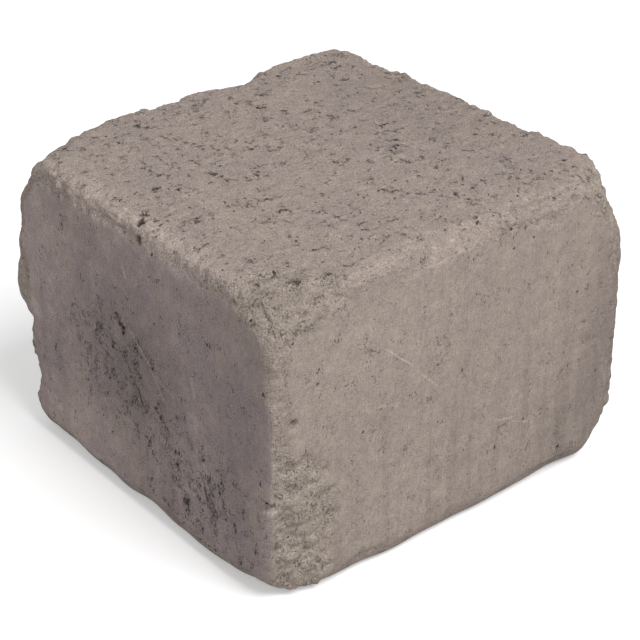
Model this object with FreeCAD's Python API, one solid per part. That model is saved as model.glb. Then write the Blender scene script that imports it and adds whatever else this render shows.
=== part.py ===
import FreeCAD, Part
import os

# Tumbled concrete wall block: one solid, dry cast in a mould and then rolled with others in a drum,
# which rounds its arrises, knocks its corners off and breaks shallow scoops out of its edges.
# Millimetres. +Z up, the origin at the middle of the bed face, the front face towards -Y.
# A side is +1 or -1 along X, Y and Z. An edge is named by the two sides that meet there, with 0 for
# the direction it runs in, and a corner by three sides.

# The block as it leaves the mould.
width = 206.0
depth = 200.0
height = 150.0

# Radius that the tumbling leaves on each arris, and round the rim of each knocked corner.
arris_radius = {
    (0, -1, +1): 7.0,
    (0, +1, +1): 7.0,
    (-1, 0, +1): 7.0,
    (+1, 0, +1): 11.0,
    (-1, -1, 0): 5.0,
    (+1, -1, 0): 9.0,
    (-1, +1, 0): 6.0,
    (+1, +1, 0): 10.0,
    (0, -1, -1): 15.0,
    (0, +1, -1): 10.0,
    (-1, 0, -1): 15.0,
    (+1, 0, -1): 11.0,
}
rim_radius = 13.0
rim_limit = 0.75   # a rim's radius is at most this share of its knock's shortest length

# Corners knocked off: the length lost from each of the three edges that meet there, along X, Y and Z.
corner_knocks = {
    (-1, -1, +1): (40.0, 20.0, 20.0),
    (+1, -1, +1): (28.0, 26.0, 40.0),
    (-1, +1, +1): (48.0, 30.0, 30.0),
    (+1, +1, +1): (18.0, 22.0, 18.0),
    (-1, -1, -1): (34.0, 9.0, 84.0),
    (+1, -1, -1): (26.0, 22.0, 34.0),
    (-1, +1, -1): (18.0, 22.0, 20.0),
    (+1, +1, -1): (24.0, 18.0, 20.0),
}

# Scoops broken out of the edges: the edge, how far along it the scoop's middle lies as a share of
# the half length, the scoop's length along the edge, and its depth below the sharp edge.
edge_scoops = [
    ((-1, +1, 0), -0.58, 30.0, 13.0),
    ((0, +1, +1), -0.18, 32.0, 5.5),
    ((0, +1, +1), 0.25, 38.0, 8.0),
    ((+1, 0, +1), 0.62, 30.0, 7.0),
    ((0, -1, +1), -0.05, 60.0, 6.5),
    ((+1, +1, 0), 0.2, 48.0, 8.0),
    ((0, +1, -1), 0.3, 50.0, 8.0),
    ((+1, 0, -1), -0.1, 44.0, 8.0),
]

half = FreeCAD.Vector(width / 2, depth / 2, height / 2)
centre = FreeCAD.Vector(0, 0, height / 2)

# How much larger than the knock itself the cutting wedge is, and how near two lengths count as one.
wedge_spread = 3
same = 1e-6


def place(share_x, share_y, share_z):
    """The point at these shares of the half sizes from the block's centre."""
    return centre + FreeCAD.Vector(share_x * half.x, share_y * half.y, share_z * half.z)


def moulded_block():
    """The sharp block, as it leaves the mould."""
    return Part.makeBox(width, depth, height, place(-1, -1, -1))


def knock(corner, legs):
    """A wedge that takes one corner off the block along the plane through its three legs' ends."""
    point = place(*corner)
    tips = []
    for direction, (side, leg) in enumerate(zip(corner, legs)):
        step = [0.0, 0.0, 0.0]
        step[direction] = -side * leg
        tips.append(point + FreeCAD.Vector(*step))
    normal = FreeCAD.Vector(*(side / leg for side, leg in zip(corner, legs))).normalize()
    middle = (tips[0] + tips[1] + tips[2]) / len(tips)
    wide = [middle + (tip - middle) * wedge_spread for tip in tips]
    return Part.Face(Part.makePolygon(wide + [wide[0]])).extrude(normal * sum(legs))


def arris_of(edge):
    """The block's edge that this edge of the knocked block lies on, or None on a knock's rim."""
    middle = edge.CenterOfMass - centre
    ends = [vertex.Point - centre for vertex in edge.Vertexes]
    sides = []
    for value, first, last, limit in zip(middle, ends[0], ends[1], half):
        lies_on_side = abs(abs(value) - limit) < same and abs(first - last) < same
        sides.append((1 if value > 0 else -1) if lies_on_side else 0)
    return tuple(sides) if sides.count(0) == 1 else None


def radius_of(edge):
    """The radius that rounds this edge: its arris's own, or the rim's, which the knock's size limits."""
    arris = arris_of(edge)
    if arris in arris_radius:
        return arris_radius[arris]
    corner = tuple(1 if value > 0 else -1 for value in edge.CenterOfMass - centre)
    return min(rim_radius, rim_limit * min(corner_knocks[corner]))


def round_arrises(block):
    """The block with every arris and rim worn round."""
    sheet = FreeCAD.newDocument("arrises")
    sharp = sheet.addObject("Part::Feature", "Sharp")
    sharp.Shape = block
    worn = sheet.addObject("Part::Fillet", "Worn")
    worn.Base = sharp
    radii = [radius_of(edge) for edge in block.Edges]
    worn.Edges = [(number + 1, radius, radius) for number, radius in enumerate(radii)]
    sheet.recompute()
    return worn.Shape.copy()


def scoop(edge, share, length, sunk):
    """A ball that breaks a shallow scoop out of one edge."""
    radius = (length * length / 4 + sunk * sunk) / (2 * sunk)
    outward = FreeCAD.Vector(*edge).normalize()
    on_edge = place(*(side if side else share for side in edge))
    return Part.makeSphere(radius, on_edge + outward * (radius - sunk))


def tumbled_block():
    """The sharp block with its corners knocked off, its arrises rounded and its scoops taken out."""
    block = moulded_block()
    for corner, legs in corner_knocks.items():
        block = block.cut(knock(corner, legs))
    block = round_arrises(block)
    for edge, share, length, sunk in edge_scoops:
        block = block.cut(scoop(edge, share, length, sunk))
    return block.Solids[0]


os.makedirs("parts", exist_ok=True)
wall_block = tumbled_block()
wall_block.exportStep("parts/wall_block.step")
litres = wall_block.Volume / 1e6
print("wall_block: valid", wall_block.isValid(), "with", len(wall_block.Faces), "faces,", round(litres, 3), "litres")
print("box", wall_block.optimalBoundingBox(False, False))
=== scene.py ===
import math

import bmesh
import bpy
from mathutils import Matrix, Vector, noise


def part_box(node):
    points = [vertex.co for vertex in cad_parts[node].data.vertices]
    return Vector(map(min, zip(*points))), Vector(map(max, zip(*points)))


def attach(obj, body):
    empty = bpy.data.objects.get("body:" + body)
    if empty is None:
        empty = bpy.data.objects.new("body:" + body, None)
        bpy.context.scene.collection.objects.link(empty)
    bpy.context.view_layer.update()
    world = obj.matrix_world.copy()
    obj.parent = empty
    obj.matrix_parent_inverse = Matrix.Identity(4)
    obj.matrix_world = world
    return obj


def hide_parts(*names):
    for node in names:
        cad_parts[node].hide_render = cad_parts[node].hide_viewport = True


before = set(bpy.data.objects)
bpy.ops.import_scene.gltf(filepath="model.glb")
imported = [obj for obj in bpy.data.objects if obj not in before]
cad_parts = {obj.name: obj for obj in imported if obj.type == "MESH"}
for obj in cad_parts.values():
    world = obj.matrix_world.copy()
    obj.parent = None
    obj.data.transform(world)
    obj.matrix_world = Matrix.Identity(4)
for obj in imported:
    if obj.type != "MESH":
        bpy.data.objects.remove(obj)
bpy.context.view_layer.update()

low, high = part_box("wall_block")
middle = (low + high) / 2
half = (high - low) / 2
mm = 0.001

# what the tumbling and the mould leave on the block's surface
wornBlock = {
    "grid": 0.95 * mm,          # spacing of the points that the relief is cut into
    "triangles": 188000,        # what the finished mesh keeps
    "bandWidth": 9.0 * mm,      # how far from an edge the wear reaches
    "bandWander": 5.0 * mm,
    "swellDepth": 3.0 * mm,     # slow hollows and swells along the worn edges
    "swellSize": 26.0 * mm,
    "lumpDepth": 3.0 * mm,      # stones standing out of the broken edges
    "lumpSize": 6.5 * mm,
    "lumpMiddle": 0.45,         # the part of a stone that lies level with the surface
    "crumbDepth": 0.7 * mm,
    "crumbSize": 3.2 * mm,
    "topDepth": 0.6 * mm,       # the open texture of the top
    "topSize": 3.6 * mm,
    "faceDepth": 0.12 * mm,     # the faces that lay against the mould
    "faceSize": 14.0 * mm,
    "ledge": 0.15 * mm,         # step down from a sound face to the worn band
    "bulge": 0.27,              # how far a knocked corner swells back out, as a share of its depth
    "rounding": 8,              # smoothing passes that take the creases out of the worn bands
    "breakSink": 0.6 * mm,      # how far the broken places lie back
    # where the left face's top corner is worn off, in square mm: the distance from the near edge times
    # the distance from the top
    "cornerWear": (235, 315),
    # places broken down to the stones: middle and reach in mm
    "breaks": [
        ((-90, -100, 36), (21, 24, 43)),
        ((-90, -94, 147), (25, 24, 15)),
        ((97, -95, 140), (19, 20, 18)),
        ((-100, 100, 38), (16, 14, 22)),
        ((60, 100, 4), (40, 20, 14)),
        ((103, 60, 150), (14, 30, 12)),
    ],
    # dents in the edges, and humps where the depth is below zero: place, reach and depth in mm
    "dents": [
        ((72, 100, 150), 36, -3.6), ((92, 94, 147), 22, -1.8), ((-82, 97, 148), 17, -2.6),
        ((-103, 100, 81), 21, -3.0), ((103, -100, 104), 60, -1.5), ((-103, -92, 0), 24, 4.2),
        ((-103, 100, 113), 17, 2.6), ((-103, 100, 60), 12, 5.0), ((-103, 100, 29), 13, 4.2),
        ((-60, 100, 150), 15, 1.4), ((24, 100, 150), 14, 1.2), ((-24, 100, 150), 12, 1.0),
    ],
    # holes and chips: place in mm from the middle of the bed, radius and depth in mm
    "pits": [
        ((-103, 11.5, 97.5), 2.2, 1.8), ((-103, 8.0, 93.5), 2.8, 2.2), ((-103, -4.0, 71.5), 2.0, 1.2),
        ((-103, -17.0, 62.0), 2.8, 2.2), ((-103, 8.5, 65.0), 1.8, 1.2), ((-103, 21.0, 61.0), 2.4, 1.0),
        ((-103, 43.0, 55.5), 1.8, 0.9), ((-103, -78.0, 44.0), 1.8, 1.2), ((-100, -94.0, 53.0), 4.0, 3.0),
        ((3.0, -100, 78.5), 1.4, 1.2), ((76.5, -100, 80.0), 2.2, 1.6), ((85.5, -100, 68.5), 1.2, 1.0),
        ((-91.5, -99, 92.5), 3.0, 2.4), ((-91.0, -100, 62.0), 2.2, 1.5), ((-98.0, -4.0, 149.0), 3.4, 4.0),
        ((-94.0, 1.0, 150.0), 2.4, 3.5), ((-91.0, 3.5, 150.0), 1.8, 2.5),
        ((-88.0, -92.0, 149.0), 4.5, 1.8), ((66.0, -99.0, 146.0), 2.4, 1.8),
    ],
}


def smoothStep(start, end, value):
    share = min(1.0, max(0.0, (value - start) / (end - start)))
    return share * share * (3 - 2 * share)


def edgeDistances(point):
    # how deep the point lies under the nearest face plane, and how far from the nearest edge
    depths = sorted(side - abs(value) for side, value in zip(half, point - middle))
    return depths[0], depths[1]


def wearAt(point):
    under, along = edgeDistances(point)
    wander = noise.noise(point / (20 * mm)) + 0.6 * noise.noise(point / (7 * mm))
    wander += 0.3 * noise.noise(point / (3 * mm))
    reach = wornBlock["bandWidth"] + wornBlock["bandWander"] * wander
    band = 1 - smoothStep(reach * 0.7, reach * 1.3, along)
    return max(band, smoothStep(0.4 * mm, 1.6 * mm, under), nearCornerAt(point)) * (1 - soundAt(point))


def nearCornerAt(point):
    # the worn curve that rounds off the left face at the top of the near edge
    x, y, z = (point - low) / mm
    if x > 6 or y > 90:
        return 0
    start, end = wornBlock["cornerWear"]
    return 1 - smoothStep(start, end, (y + 4) * (high.z / mm - z) + 70 * noise.noise(point / (6 * mm)))


def soundAt(point):
    # 1 where the left face stays whole right up to the near vertical edge
    x, y, z = point - low
    if x > 8 * mm or y > 22 * mm:
        return 0
    crease = y - x + 1.2 * mm * noise.noise(point / (12 * mm))
    flank = smoothStep(-0.4 * mm, 0.6 * mm, crease) * (1 - smoothStep(16 * mm, 22 * mm, y))
    upright = smoothStep(3 * mm, 9 * mm, z) * (1 - nearCornerAt(point))
    return flank * upright * (1 - smoothStep(5 * mm, 8 * mm, x))


def breakAt(point):
    # 1 inside a broken place, 0 outside, with a ragged border
    strongest = 0
    for place, reach in wornBlock["breaks"]:
        away = Vector((value / mm - at) / size for value, at, size in zip(point, place, reach)).length
        if away < 1.6:
            ragged = away + 0.22 * noise.noise(point / (9 * mm)) + 0.12 * noise.noise(point / (3 * mm))
            strongest = max(strongest, 1 - smoothStep(0.85, 1.1, ragged))
    return strongest * (1 - soundAt(point))


def reliefAt(point, wear, broken):
    w = wornBlock
    under = edgeDistances(point)[0]
    swell = 0.1 + 0.8 * noise.noise(point / w["swellSize"])
    depth = wear * w["swellDepth"] * swell - w["bulge"] * max(0, under)
    depth += w["ledge"] * smoothStep(0.4, 0.6, wear) * smoothStep(5 * mm, 30 * mm, point.z)
    for place, reach, dent in w["dents"]:
        away = (point - Vector(place) * mm).length / (reach * mm)
        if away < 1:
            depth += dent * mm * (1 - smoothStep(0, 1, away))
    rough = max(wear * smoothStep(3 * mm, 25 * mm, point.z), broken)
    if rough > 0.01:
        stones = noise.voronoi(point / w["lumpSize"])[0][0]
        patch = 0.3 + 0.7 * smoothStep(-0.3, 0.4, noise.noise(point / (30 * mm) + Vector((7, 3, 1))))
        patch = max(patch, broken)
        crumbs = noise.fractal(point / w["crumbSize"], 0.8, 2.1, 3)
        depth += rough * patch * (w["lumpDepth"] * (stones - w["lumpMiddle"]) + w["crumbDepth"] * crumbs)
        depth += w["breakSink"] * broken
    if point.z > high.z - 4 * mm:
        openTexture = noise.fractal(point / w["topSize"], 0.8, 2.2, 4)
        depth += w["topDepth"] * max(0.0, 0.35 + openTexture)
    else:
        depth += w["faceDepth"] * (0.5 + noise.noise(point / w["faceSize"]))
    return depth


def pitAt(point):
    deepest = 0
    for place, radius, depth in wornBlock["pits"]:
        away = (point - Vector(place) * mm).length / (radius * mm)
        if away < 1.6:
            ragged = away + 0.35 * noise.noise(point / (1.6 * mm))
            deepest = max(deepest, depth * mm * (1 - smoothStep(0.3, 1.1, ragged)))
    return deepest


def inBox(place):
    return Vector(min(top, max(bottom, value)) for bottom, value, top in zip(low, place, high))


def freeze(block):
    # the modifiers' result becomes the mesh
    depsgraph = bpy.context.evaluated_depsgraph_get()
    made = bpy.data.meshes.new_from_object(block.evaluated_get(depsgraph))
    block.modifiers.clear()
    block.data = made


def thinned(block, triangles):
    faces = len(block.data.polygons)
    thin = block.modifiers.new("thin", "DECIMATE")
    thin.ratio = triangles / (2 * faces)
    freeze(block)


def makeWornBlock():
    w = wornBlock
    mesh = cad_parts["wall_block"].data.copy()
    bm = bmesh.new()
    bm.from_mesh(mesh)
    bmesh.ops.remove_doubles(bm, verts=bm.verts, dist=0.01 * mm)
    bm.to_mesh(mesh)
    bm.free()
    block = bpy.data.objects.new("worn_block", mesh)
    bpy.context.collection.objects.link(block)
    even = block.modifiers.new("even", "REMESH")
    even.mode = "VOXEL"
    even.voxel_size = w["grid"] * 1
    freeze(block)
    worn = block.vertex_groups.new(name="worn")
    for vert in block.data.vertices:
        worn.add([vert.index], max(wearAt(vert.co), breakAt(vert.co)), "REPLACE")
    ease = block.modifiers.new("ease", "SMOOTH")
    ease.vertex_group = "worn"
    ease.iterations = w["rounding"]
    freeze(block)
    print("even grid:", len(block.data.vertices), "points")

    bm = bmesh.new()
    bm.from_mesh(block.data)
    bm.normal_update()
    moved = []
    for vert in bm.verts:
        depth = reliefAt(vert.co, wearAt(vert.co), breakAt(vert.co)) + pitAt(vert.co)
        moved.append(inBox(vert.co - vert.normal * depth))
    for vert, place in zip(bm.verts, moved):
        vert.co = place
    bm.to_mesh(block.data)
    bm.free()
    print("relief cut")

    thinned(block, w["triangles"])
    mesh = block.data
    for vert in mesh.vertices:
        vert.co = inBox(vert.co)
    for name, measure in (("wear", wearAt), ("broken", breakAt)):
        mesh.attributes.new(name, "FLOAT", "POINT")
        mesh.attributes[name].data.foreach_set("value", [measure(vert.co) for vert in mesh.vertices])
    mesh.shade_smooth()
    print("worn block:", len(mesh.polygons), "faces")
    return block


class Signal:
    # a shader socket that can be used in sums
    def __init__(self, socket):
        self.socket = socket

    def maths(self, operation, *others):
        tree = self.socket.id_data
        made = tree.nodes.new("ShaderNodeMath")
        made.operation = operation
        for value, slot in zip((self, *others), made.inputs):
            plug(value, slot)
        return Signal(made.outputs[0])

    def most(self, *others):
        strongest = self
        for other in others:
            strongest = strongest.maths("MAXIMUM", other)
        return strongest

    def __add__(self, other):
        return self.maths("ADD", other)

    def __radd__(self, other):
        return self.maths("ADD", other)

    def __sub__(self, other):
        return self.maths("SUBTRACT", other)

    def __rsub__(self, other):
        return (self * -1).maths("ADD", other)

    def __mul__(self, other):
        return self.maths("MULTIPLY", other)

    def __rmul__(self, other):
        return self.maths("MULTIPLY", other)


def plug(value, slot):
    if isinstance(value, Signal):
        slot.id_data.links.new(value.socket, slot)
    else:
        slot.default_value = value


class Finish:
    # a material or a world, and the few ways its nodes are made
    def __init__(self, owner):
        owner.use_nodes = True
        self.owner = owner
        self.tree = owner.node_tree
        self.tree.nodes.clear()

    def node(self, kind, settings=None, sockets=None, out=0):
        made = self.tree.nodes.new("ShaderNode" + kind)
        for key, value in (settings or {}).items():
            setattr(made, key, value)
        for key, value in (sockets or {}).items():
            plug(value, made.inputs[key])
        return Signal(made.outputs[out]) if made.outputs else None

    def vector(self, operation, a, b=None, scale=None, out=0):
        sockets = {0: a}
        if b is not None:
            sockets[1] = b
        if scale is not None:
            sockets["Scale"] = scale
        return self.node("VectorMath", {"operation": operation}, sockets, out)

    def blend(self, factor, a, b):
        return self.node("Mix", {"data_type": "RGBA"}, {0: factor, 6: a, 7: b}, 2)

    def ramp(self, value, start, end):
        settings = {"interpolation_type": "SMOOTHSTEP"}
        return self.node("MapRange", settings, {"Value": value, "From Min": start, "From Max": end})

    def cloud(self, place, size, detail, rough):
        return self.node("TexNoise", None, {
            "Vector": place, "Scale": 1 / size, "Detail": detail, "Roughness": rough,
        })


concrete = {
    "skin": (0.325, 0.268, 0.234, 1),
    "mauve": (0.298, 0.243, 0.231, 1),
    "sand": (0.34, 0.285, 0.235, 1),
    "worn": (0.375, 0.31, 0.272, 1),
    "stone": (0.47, 0.395, 0.352, 1),
    "grit": (0.395, 0.333, 0.282, 1),
    "stain": (0.20, 0.163, 0.148, 1),
    # painted shade: near black, the shade inside the holes and cracks
    "holeShade": (0.038, 0.029, 0.025, 1),
    "dust": (0.50, 0.43, 0.385, 1),
    "roughness": 0.92,
    # sizes of the noises in mm
    "patchSize": 38,
    "blotchSize": 10,
    "speckleSize": 0.7,
    "grainSize": 1.1,
    "coarseSize": 3.0,
    "streakSize": 9,
    "dragSize": 0.8,
    "smudgeSize": 15,
    "clusterSize": 7,
    "fineSize": 0.85,
    "wideSize": 1.7,
    "tallSize": 1.5,
    "tornSize": 2.6,
    "raggedness": 1.7,          # how far the outlines of the round holes are pushed about
    # round holes: how far apart their places lie and how wide they get, in mm
    "topHoles": (3.2, 0.7),
    "leftHoles": (3.6, 1.15),
    "leftGashes": (8, 1.9),
    "faceHoles": (6, 0.8),
    "topTone": 1.10,
    "leftTint": (0.97, 0.95, 0.995),
    # slow changes of tone on the left face, painted light and shade: its shading gradient, darker in the
    # middle and towards the near edge, lighter towards the far end and its foot. Middle and reach in mm, and
    # the tone there
    "leftShading": [
        ((-103, 2, 76), (30, 50, 44), 0.73),
        ((-103, -80, 80), (30, 30, 80), 0.90),
        ((-103, 92, 105), (30, 46, 60), 1.25),
        ((-103, 60, 14), (30, 62, 34), 1.36),
    ],
    # and anywhere on the block, mostly painted light and shade: the worn band along the top-left ridge,
    # which lies in shade, painted lighter; the front face painted lighter towards its left and darker at its
    # right edge and lower right, its shading gradient; the dent at the top near corner painted darker, its
    # shade; the top darker over its right half
    "lightShadeAndTones": [
        ((-101, 0, 148), (14, 100, 14), 1.14),
        ((-92, -104, 40), (30, 24, 70), 1.08),
        ((-90, -92, 150), (36, 34, 26), 0.88),
        ((-45, -100, 26), (44, 20, 46), 1.07),
        ((103, -100, 70), (30, 30, 80), 0.76),
        ((72, -100, 22), (34, 30, 40), 0.86),
        ((-50, -100, 118), (52, 20, 36), 1.06),
        ((80, 10, 150), (64, 96, 20), 0.90),
        ((-103, -20, 144), (12, 90, 9), 1.08),
    ],
    # where the left face is porous: middle and reach in mm
    "porous": [((-103, 22, 72), (24, 56, 46)), ((-103, -48, 36), (24, 60, 44))],
    # cracks painted dark, painted shade inside them: both ends in mm, the width in mm and how clear they are
    "cracks": [
        ((-102, -9, 143.5), (-98, -4, 146.5), 2.8, 0.85), ((-98, -4, 146.5), (-94, 0, 148), 2.8, 0.95),
        ((-94, 0, 148.5), (-90.5, 3.5, 149.5), 1.8, 0.9), ((-103, 12.5, 99), (-103, 8, 91), 1.7, 0.95),
        ((-103, -15, 63), (-103, -19, 60), 1.7, 0.9), ((-103, -51, 40), (-103, -53, 35), 1.4, 0.7),
        ((-103, -2, 67), (-103, -5, 60), 1.2, 0.8), ((-100.5, -96, 55), (-99, -98, 51), 1.6, 0.7),
    ],
    # pale scratches: both ends in mm, the width in mm and how clear they are
    "scratches": [
        ((-103, 3, 96), (-103, -12, 84), 0.9, 0.8), ((-103, -12, 84), (-103, -23, 70), 0.8, 0.7),
        ((-103, -12, 82), (-103, -30, 76), 0.8, 0.4), ((-103, -45, 58), (-103, -55, 48), 0.8, 0.5),
        ((-103, -44, 92), (-103, -46, 84), 1.4, 0.5), ((-103, 5, 125), (-103, 3, 121), 1.6, 0.6),
        ((-43, -100, 110.5), (-28, -100, 97), 0.6, 0.75), ((-25, -100, 93), (-13, -100, 81), 0.8, 0.45),
        ((-46, -100, 84), (-35.5, -100, 79.5), 0.7, 0.5), ((23.5, -100, 48.5), (34, -100, 46), 0.9, 0.7),
        ((34, -100, 44), (47.5, -100, 38), 0.4, 0.6), ((22, -100, 148), (-5, -100, 119.5), 0.8, 0.25),
    ],
}


def spot(f, p, place, reach, start, end):
    # 0 at the border and beyond it, 1 in the middle
    scaled = f.vector("DIVIDE", f.vector("SUBTRACT", p, place), reach)
    return f.ramp(f.vector("LENGTH", scaled, out=1), start, end)


def scratch(f, p, start, end, width):
    run = Vector(end) - Vector(start)
    fromStart = f.vector("SUBTRACT", p, start)
    share = f.vector("DOT_PRODUCT", fromStart, run / run.length_squared, out=1)
    share = share.maths("MAXIMUM", 0.0).maths("MINIMUM", 1.0)
    away = f.vector("DISTANCE", fromStart, f.vector("SCALE", run, scale=share), out=1)
    return f.ramp(away, width, width * 0.3)


def holes(f, bent, size, share):
    # ragged round holes at a share of the places for them
    spacing, widest = size
    away = f.node("TexVoronoi", None, {"Vector": bent, "Scale": 1 / spacing})
    chance = f.node("SeparateColor", None, {0: Signal(away.socket.node.outputs["Color"])})
    reach = f.ramp(chance, 1 - share, 1) * (widest / spacing)
    return f.ramp(away, reach, reach * 0.7)


def makePores(f, p, onTop, onLeft, worn, crumbled):
    # round holes, and ragged flecks in clusters: the pores, the chips that dent the surface, the porous
    # zone; the bump cuts them in and they are painted near black, painted shade inside them
    c = concrete
    clusters = f.cloud(f.vector("ADD", p, (13, 5, 77)), c["clusterSize"], 3, 0.6) - 0.5
    fine = f.cloud(f.vector("MULTIPLY", p, (1, 1, 0.7)), c["fineSize"], 3, 0.75)
    wide = f.cloud(f.vector("ADD", p, (3, 61, 22)), c["wideSize"], 4, 0.72)
    tall = f.cloud(f.vector("MULTIPLY", p, (1, 1, 0.55)), c["tallSize"], 4, 0.72)
    torn = f.cloud(f.vector("ADD", p, (71, 4, 50)), c["tornSize"], 4, 0.72)
    bend = f.node("TexNoise", None, {"Vector": p, "Scale": 1.1, "Detail": 1.0}, 1)
    bent = f.vector("ADD", p, f.vector("SCALE", bend, scale=c["raggedness"]))
    zone = 0
    for middleAt, reach in c["porous"]:
        zone = zone + spot(f, p, middleAt, reach, 1.1, 0.1)
    chips = torn + clusters * 0.7 + zone * 0.05 * onLeft

    topPores = holes(f, bent, c["topHoles"], 0.25).most(
        f.ramp(wide + clusters * 0.6, 0.675, 0.695),
        f.ramp(chips, 0.71, 0.73),
    )
    leftPores = holes(f, bent, c["leftHoles"], 0.09 + zone * 0.32).most(
        holes(f, f.vector("MULTIPLY", bent, (1, 0.6, 1)), c["leftGashes"], 0.12 + zone * 0.4),
        f.ramp(tall + clusters * 0.5 + zone * 0.06, 0.69, 0.70),
        f.ramp(fine + clusters * 0.5 + zone * 0.05, 0.685, 0.70),
    )
    facePores = (f.ramp(fine + clusters * 0.5, 0.66, 0.72) * 0.45).most(
        holes(f, bent, c["faceHoles"], 0.3) * 0.8,
        f.ramp(tall + clusters * 0.6, 0.73, 0.76),
    )
    pores = (topPores * onTop).most(
        leftPores * onLeft,
        facePores * (1 - onTop) * (1 - onLeft),
        f.ramp(wide + clusters * 0.4, 0.64, 0.68) * worn * 0.45,
        f.ramp(fine + clusters * 0.4, 0.58, 0.66) * crumbled * 0.6,
    )
    return pores, chips, zone


def makeConcrete():
    c = concrete
    f = Finish(bpy.data.materials.new("cast_concrete"))
    place = f.node("TexCoord", out=3)
    p = f.vector("SCALE", place, scale=1000)          # millimetres, as all sizes from here on
    x, y, z = (f.node("SeparateXYZ", None, {0: p}, out) for out in range(3))
    wear = f.node("Attribute", {"attribute_name": "wear"}, out=2)
    broken = f.node("Attribute", {"attribute_name": "broken"}, out=2)

    patches = f.cloud(p, c["patchSize"], 3, 0.55)
    blotches = f.cloud(f.vector("ADD", p, (40, 90, 10)), c["blotchSize"], 4, 0.6)
    speckle = f.cloud(p, c["speckleSize"], 2, 0.7) - 0.5
    grain = f.cloud(f.vector("ADD", p, (9, 2, 31)), c["grainSize"], 4, 0.75) - 0.5
    coarse = f.cloud(p, c["coarseSize"], 4, 0.7) - 0.5
    streaks = f.cloud(f.vector("MULTIPLY", p, (1, 1, 0.06)), c["streakSize"], 4, 0.6)
    drag = f.cloud(f.vector("MULTIPLY", p, (1, 1, 0.12)), c["dragSize"], 2, 0.6) - 0.5
    smudges = f.cloud(f.vector("ADD", p, (5, 33, 8)), c["smudgeSize"], 3, 0.55)

    # where the top, the left face up to its crease, the worn bands and the broken places are
    onTop = f.ramp(z, high.z / mm - 3, high.z / mm - 0.8)
    onSide = 1 - onTop
    crease = (y - low.y / mm) - (x - low.x / mm) + coarse * 2
    onLeft = (1 - f.ramp(x, low.x / mm + 1.5, low.x / mm + 3)) * f.ramp(crease, -0.6, 0.6)
    worn = f.ramp(wear + coarse * 0.6, 0.40, 0.60)
    crumbled = f.ramp(broken + coarse * 0.9, 0.30, 0.75)
    bare = worn.most(crumbled)
    openness = onTop.most(bare)
    pores, chips, zone = makePores(f, p, onTop, onLeft, worn, crumbled)

    colour = f.blend(f.ramp(patches, 0.62, 0.4) * (onTop * 0.4 + onLeft), c["skin"], c["mauve"])
    colour = f.blend(f.ramp(blotches, 0.5, 0.72) * 0.6, colour, c["sand"])
    stained = f.ramp(streaks, 0.47, 0.62) * onSide * f.ramp(z, 125, 45)
    colour = f.blend(stained * 0.32, colour, c["stain"])
    colour = f.blend(f.ramp(smudges, 0.56, 0.72) * onLeft * 0.3, colour, c["stone"])
    colour = f.blend(worn * 0.75, colour, c["worn"])
    colour = f.blend(worn * f.ramp(coarse, 0.06, 0.2) * 0.5, colour, c["stone"])
    colour = f.blend(crumbled * 0.75, colour, c["grit"])
    flecks = f.ramp(speckle, 0.08, 0.16) * (zone * onLeft * 0.5 + onTop * 0.2)
    colour = f.blend(flecks, colour, c["stone"])
    # painted shade: the pores, chips and holes in the worn and broken places are coloured near black as the
    # shade inside them; the bump also sinks them
    colour = f.blend(pores, colour, c["holeShade"])
    # painted shade: each crack is coloured near black as the shade inside it
    for start, end, width, clear in c["cracks"]:
        colour = f.blend(scratch(f, p, start, end, width) * clear, colour, c["holeShade"])
    dusty = f.ramp(grain, -0.15, 0.05)
    for start, end, width, clear in c["scratches"]:
        colour = f.blend(scratch(f, p, start, end, width) * dusty * clear, colour, c["dust"])

    tone = 1 + speckle * (1.2 + openness * 0.35 + onTop * 0.2 + onLeft * 0.4)
    tone = tone + coarse * 0.6 + (blotches - 0.5) * 0.4 + drag * onSide * 0.32
    tone = tone * (1 + onTop * (c["topTone"] - 1))
    # painted light and shade from the list above, with the top darker over its right half
    for middleAt, reach, level in c["lightShadeAndTones"]:
        tone = tone * (1 + spot(f, p, middleAt, reach, 1.2, 0.1) * (level - 1))
    # painted shading gradient across the sound part of the left face
    soundLeft = onLeft * (1 - worn)
    for middleAt, reach, level in c["leftShading"]:
        tone = tone * (1 + spot(f, p, middleAt, reach, 1.2, 0.1) * soundLeft * (level - 1))
    colour = f.vector("SCALE", colour, scale=tone)
    colour = f.vector("MULTIPLY", colour, f.blend(soundLeft, (1, 1, 1, 1), (*c["leftTint"], 1)))

    height = grain * (0.25 + 0.65 * openness) + coarse * (0.1 + 0.65 * onTop + 1.3 * bare)
    height = height + speckle * (0.1 + 0.2 * openness) + drag * 0.12 * onSide - pores
    height = height - f.ramp(chips, 0.60, 0.72) * (onTop * 0.9 + onLeft * zone * 0.6)
    bump = f.node("Bump", None, {"Strength": 1.0, "Distance": mm, "Height": height})
    shader = f.node("BsdfPrincipled", None, {
        "Base Color": colour, "Roughness": c["roughness"], "Specular IOR Level": 0.25, "Normal": bump,
    })
    f.node("OutputMaterial", None, {"Surface": shader})
    return f.owner


studio = {
    "floorSize": 6.0,
    "floorColour": (0.9, 0.9, 0.9, 1),
    "lift": 0.3,                # what the floor adds for the camera alone
    "floorBounce": (0.5, 0.5, 0.5, 1),
    "sky": 0.42,
    "keyFrom": (0.1, -1.25, 1.75),
    "keySize": 1.1,
    "keyPower": 38,
    "fillFrom": (-1.6, -0.5, 0.9),
    "fillSize": 1.5,
    "fillPower": 5,
}


def seenDirectly(f):
    # 1 for what the camera sees straight, in a reflection or through glass
    cameraRay, glossyRay, transmissionRay = (f.node("LightPath", out=out) for out in (0, 3, 6))
    return cameraRay.maths("MAXIMUM", glossyRay).maths("MAXIMUM", transmissionRay)


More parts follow.
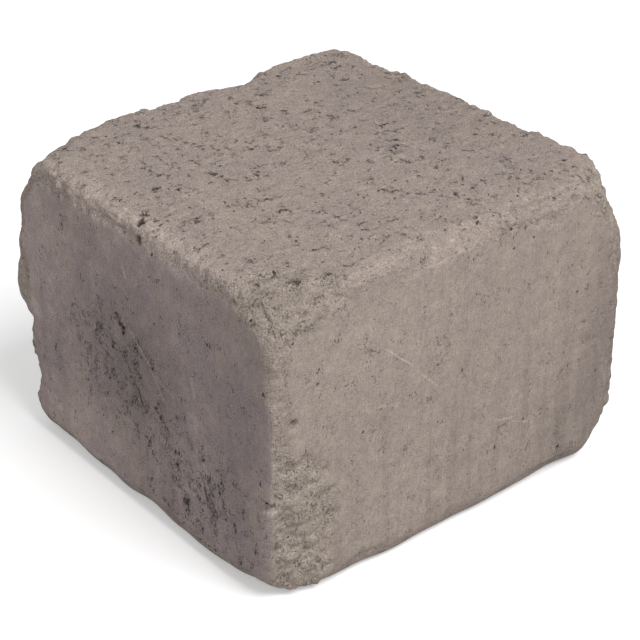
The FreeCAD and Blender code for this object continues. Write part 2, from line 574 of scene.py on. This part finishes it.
def makeFloor():
    s = studio
    bm = bmesh.new()
    bmesh.ops.create_grid(bm, x_segments=1, y_segments=1, size=s["floorSize"] / 2)
    mesh = bpy.data.meshes.new("floor")
    bm.to_mesh(mesh)
    bm.free()
    floor = bpy.data.objects.new("floor", mesh)
    bpy.context.collection.objects.link(floor)
    f = Finish(bpy.data.materials.new("studio_floor"))
    seen = seenDirectly(f)
    colour = f.blend(seen, s["floorBounce"], s["floorColour"])
    glow = f.blend(seen, (0, 0, 0, 1), (s["lift"], s["lift"], s["lift"], 1))
    shader = f.node("BsdfPrincipled", None, {
        "Base Color": colour, "Roughness": 0.9, "Specular IOR Level": 0.0,
        "Emission Color": glow, "Emission Strength": 1.0,
    })
    f.node("OutputMaterial", None, {"Surface": shader})
    mesh.materials.append(f.owner)


def softLight(name, place, size, power):
    lamp = bpy.data.lights.new(name, "AREA")
    lamp.size = size
    lamp.energy = power
    made = bpy.data.objects.new(name, lamp)
    made.location = place
    made.rotation_mode = "QUATERNION"
    made.rotation_quaternion = (middle - made.location).to_track_quat("-Z", "Y")
    bpy.context.collection.objects.link(made)


def lightStudio():
    s = studio
    softLight("key", s["keyFrom"], s["keySize"], s["keyPower"])
    softLight("fill", s["fillFrom"], s["fillSize"], s["fillPower"])
    f = Finish(bpy.data.worlds.new("studio"))
    sky = f.node("Background", None, {"Color": (1, 1, 1, 1), "Strength": s["sky"]})
    backdrop = f.node("Background", None, {"Color": (1, 1, 1, 1), "Strength": 1.0})
    surface = f.node("MixShader", None, {0: seenDirectly(f), 1: sky, 2: backdrop})
    f.node("OutputWorld", None, {"Surface": surface})
    bpy.context.scene.world = f.owner


shot = {
    "azimuth": -38.8,            # degrees, 0 looks along +Y
    "elevation": 29.66,
    "distance": 0.870,
    "lens": 103.35,              # on a 36 mm sensor
    "aside": 1.8 * mm,           # how far the view is aimed to the right of the block's middle, and below it
    "below": 9.0 * mm,
}


def makeCamera():
    s = shot
    azimuth, elevation = math.radians(s["azimuth"]), math.radians(s["elevation"])
    back = Vector((
        math.sin(azimuth) * math.cos(elevation),
        -math.cos(azimuth) * math.cos(elevation),
        math.sin(elevation),
    ))
    turn = (-back).to_track_quat("-Z", "Y")
    lens = bpy.data.cameras.new("camera")
    lens.lens = s["lens"]
    lens.sensor_width = 36
    camera = bpy.data.objects.new("camera", lens)
    camera.rotation_mode = "QUATERNION"
    camera.rotation_quaternion = turn
    aim = middle + turn @ Vector((s["aside"], -s["below"], 0))
    camera.location = aim + back * s["distance"]
    bpy.context.collection.objects.link(camera)
    bpy.context.scene.camera = camera


block = makeWornBlock()
block.data.materials.clear()
block.data.materials.append(makeConcrete())
print("concrete mixed")
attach(block, "root")
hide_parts("wall_block")

makeFloor()
lightStudio()
makeCamera()
bpy.context.scene.view_settings.view_transform = "Standard"
print("studio set")
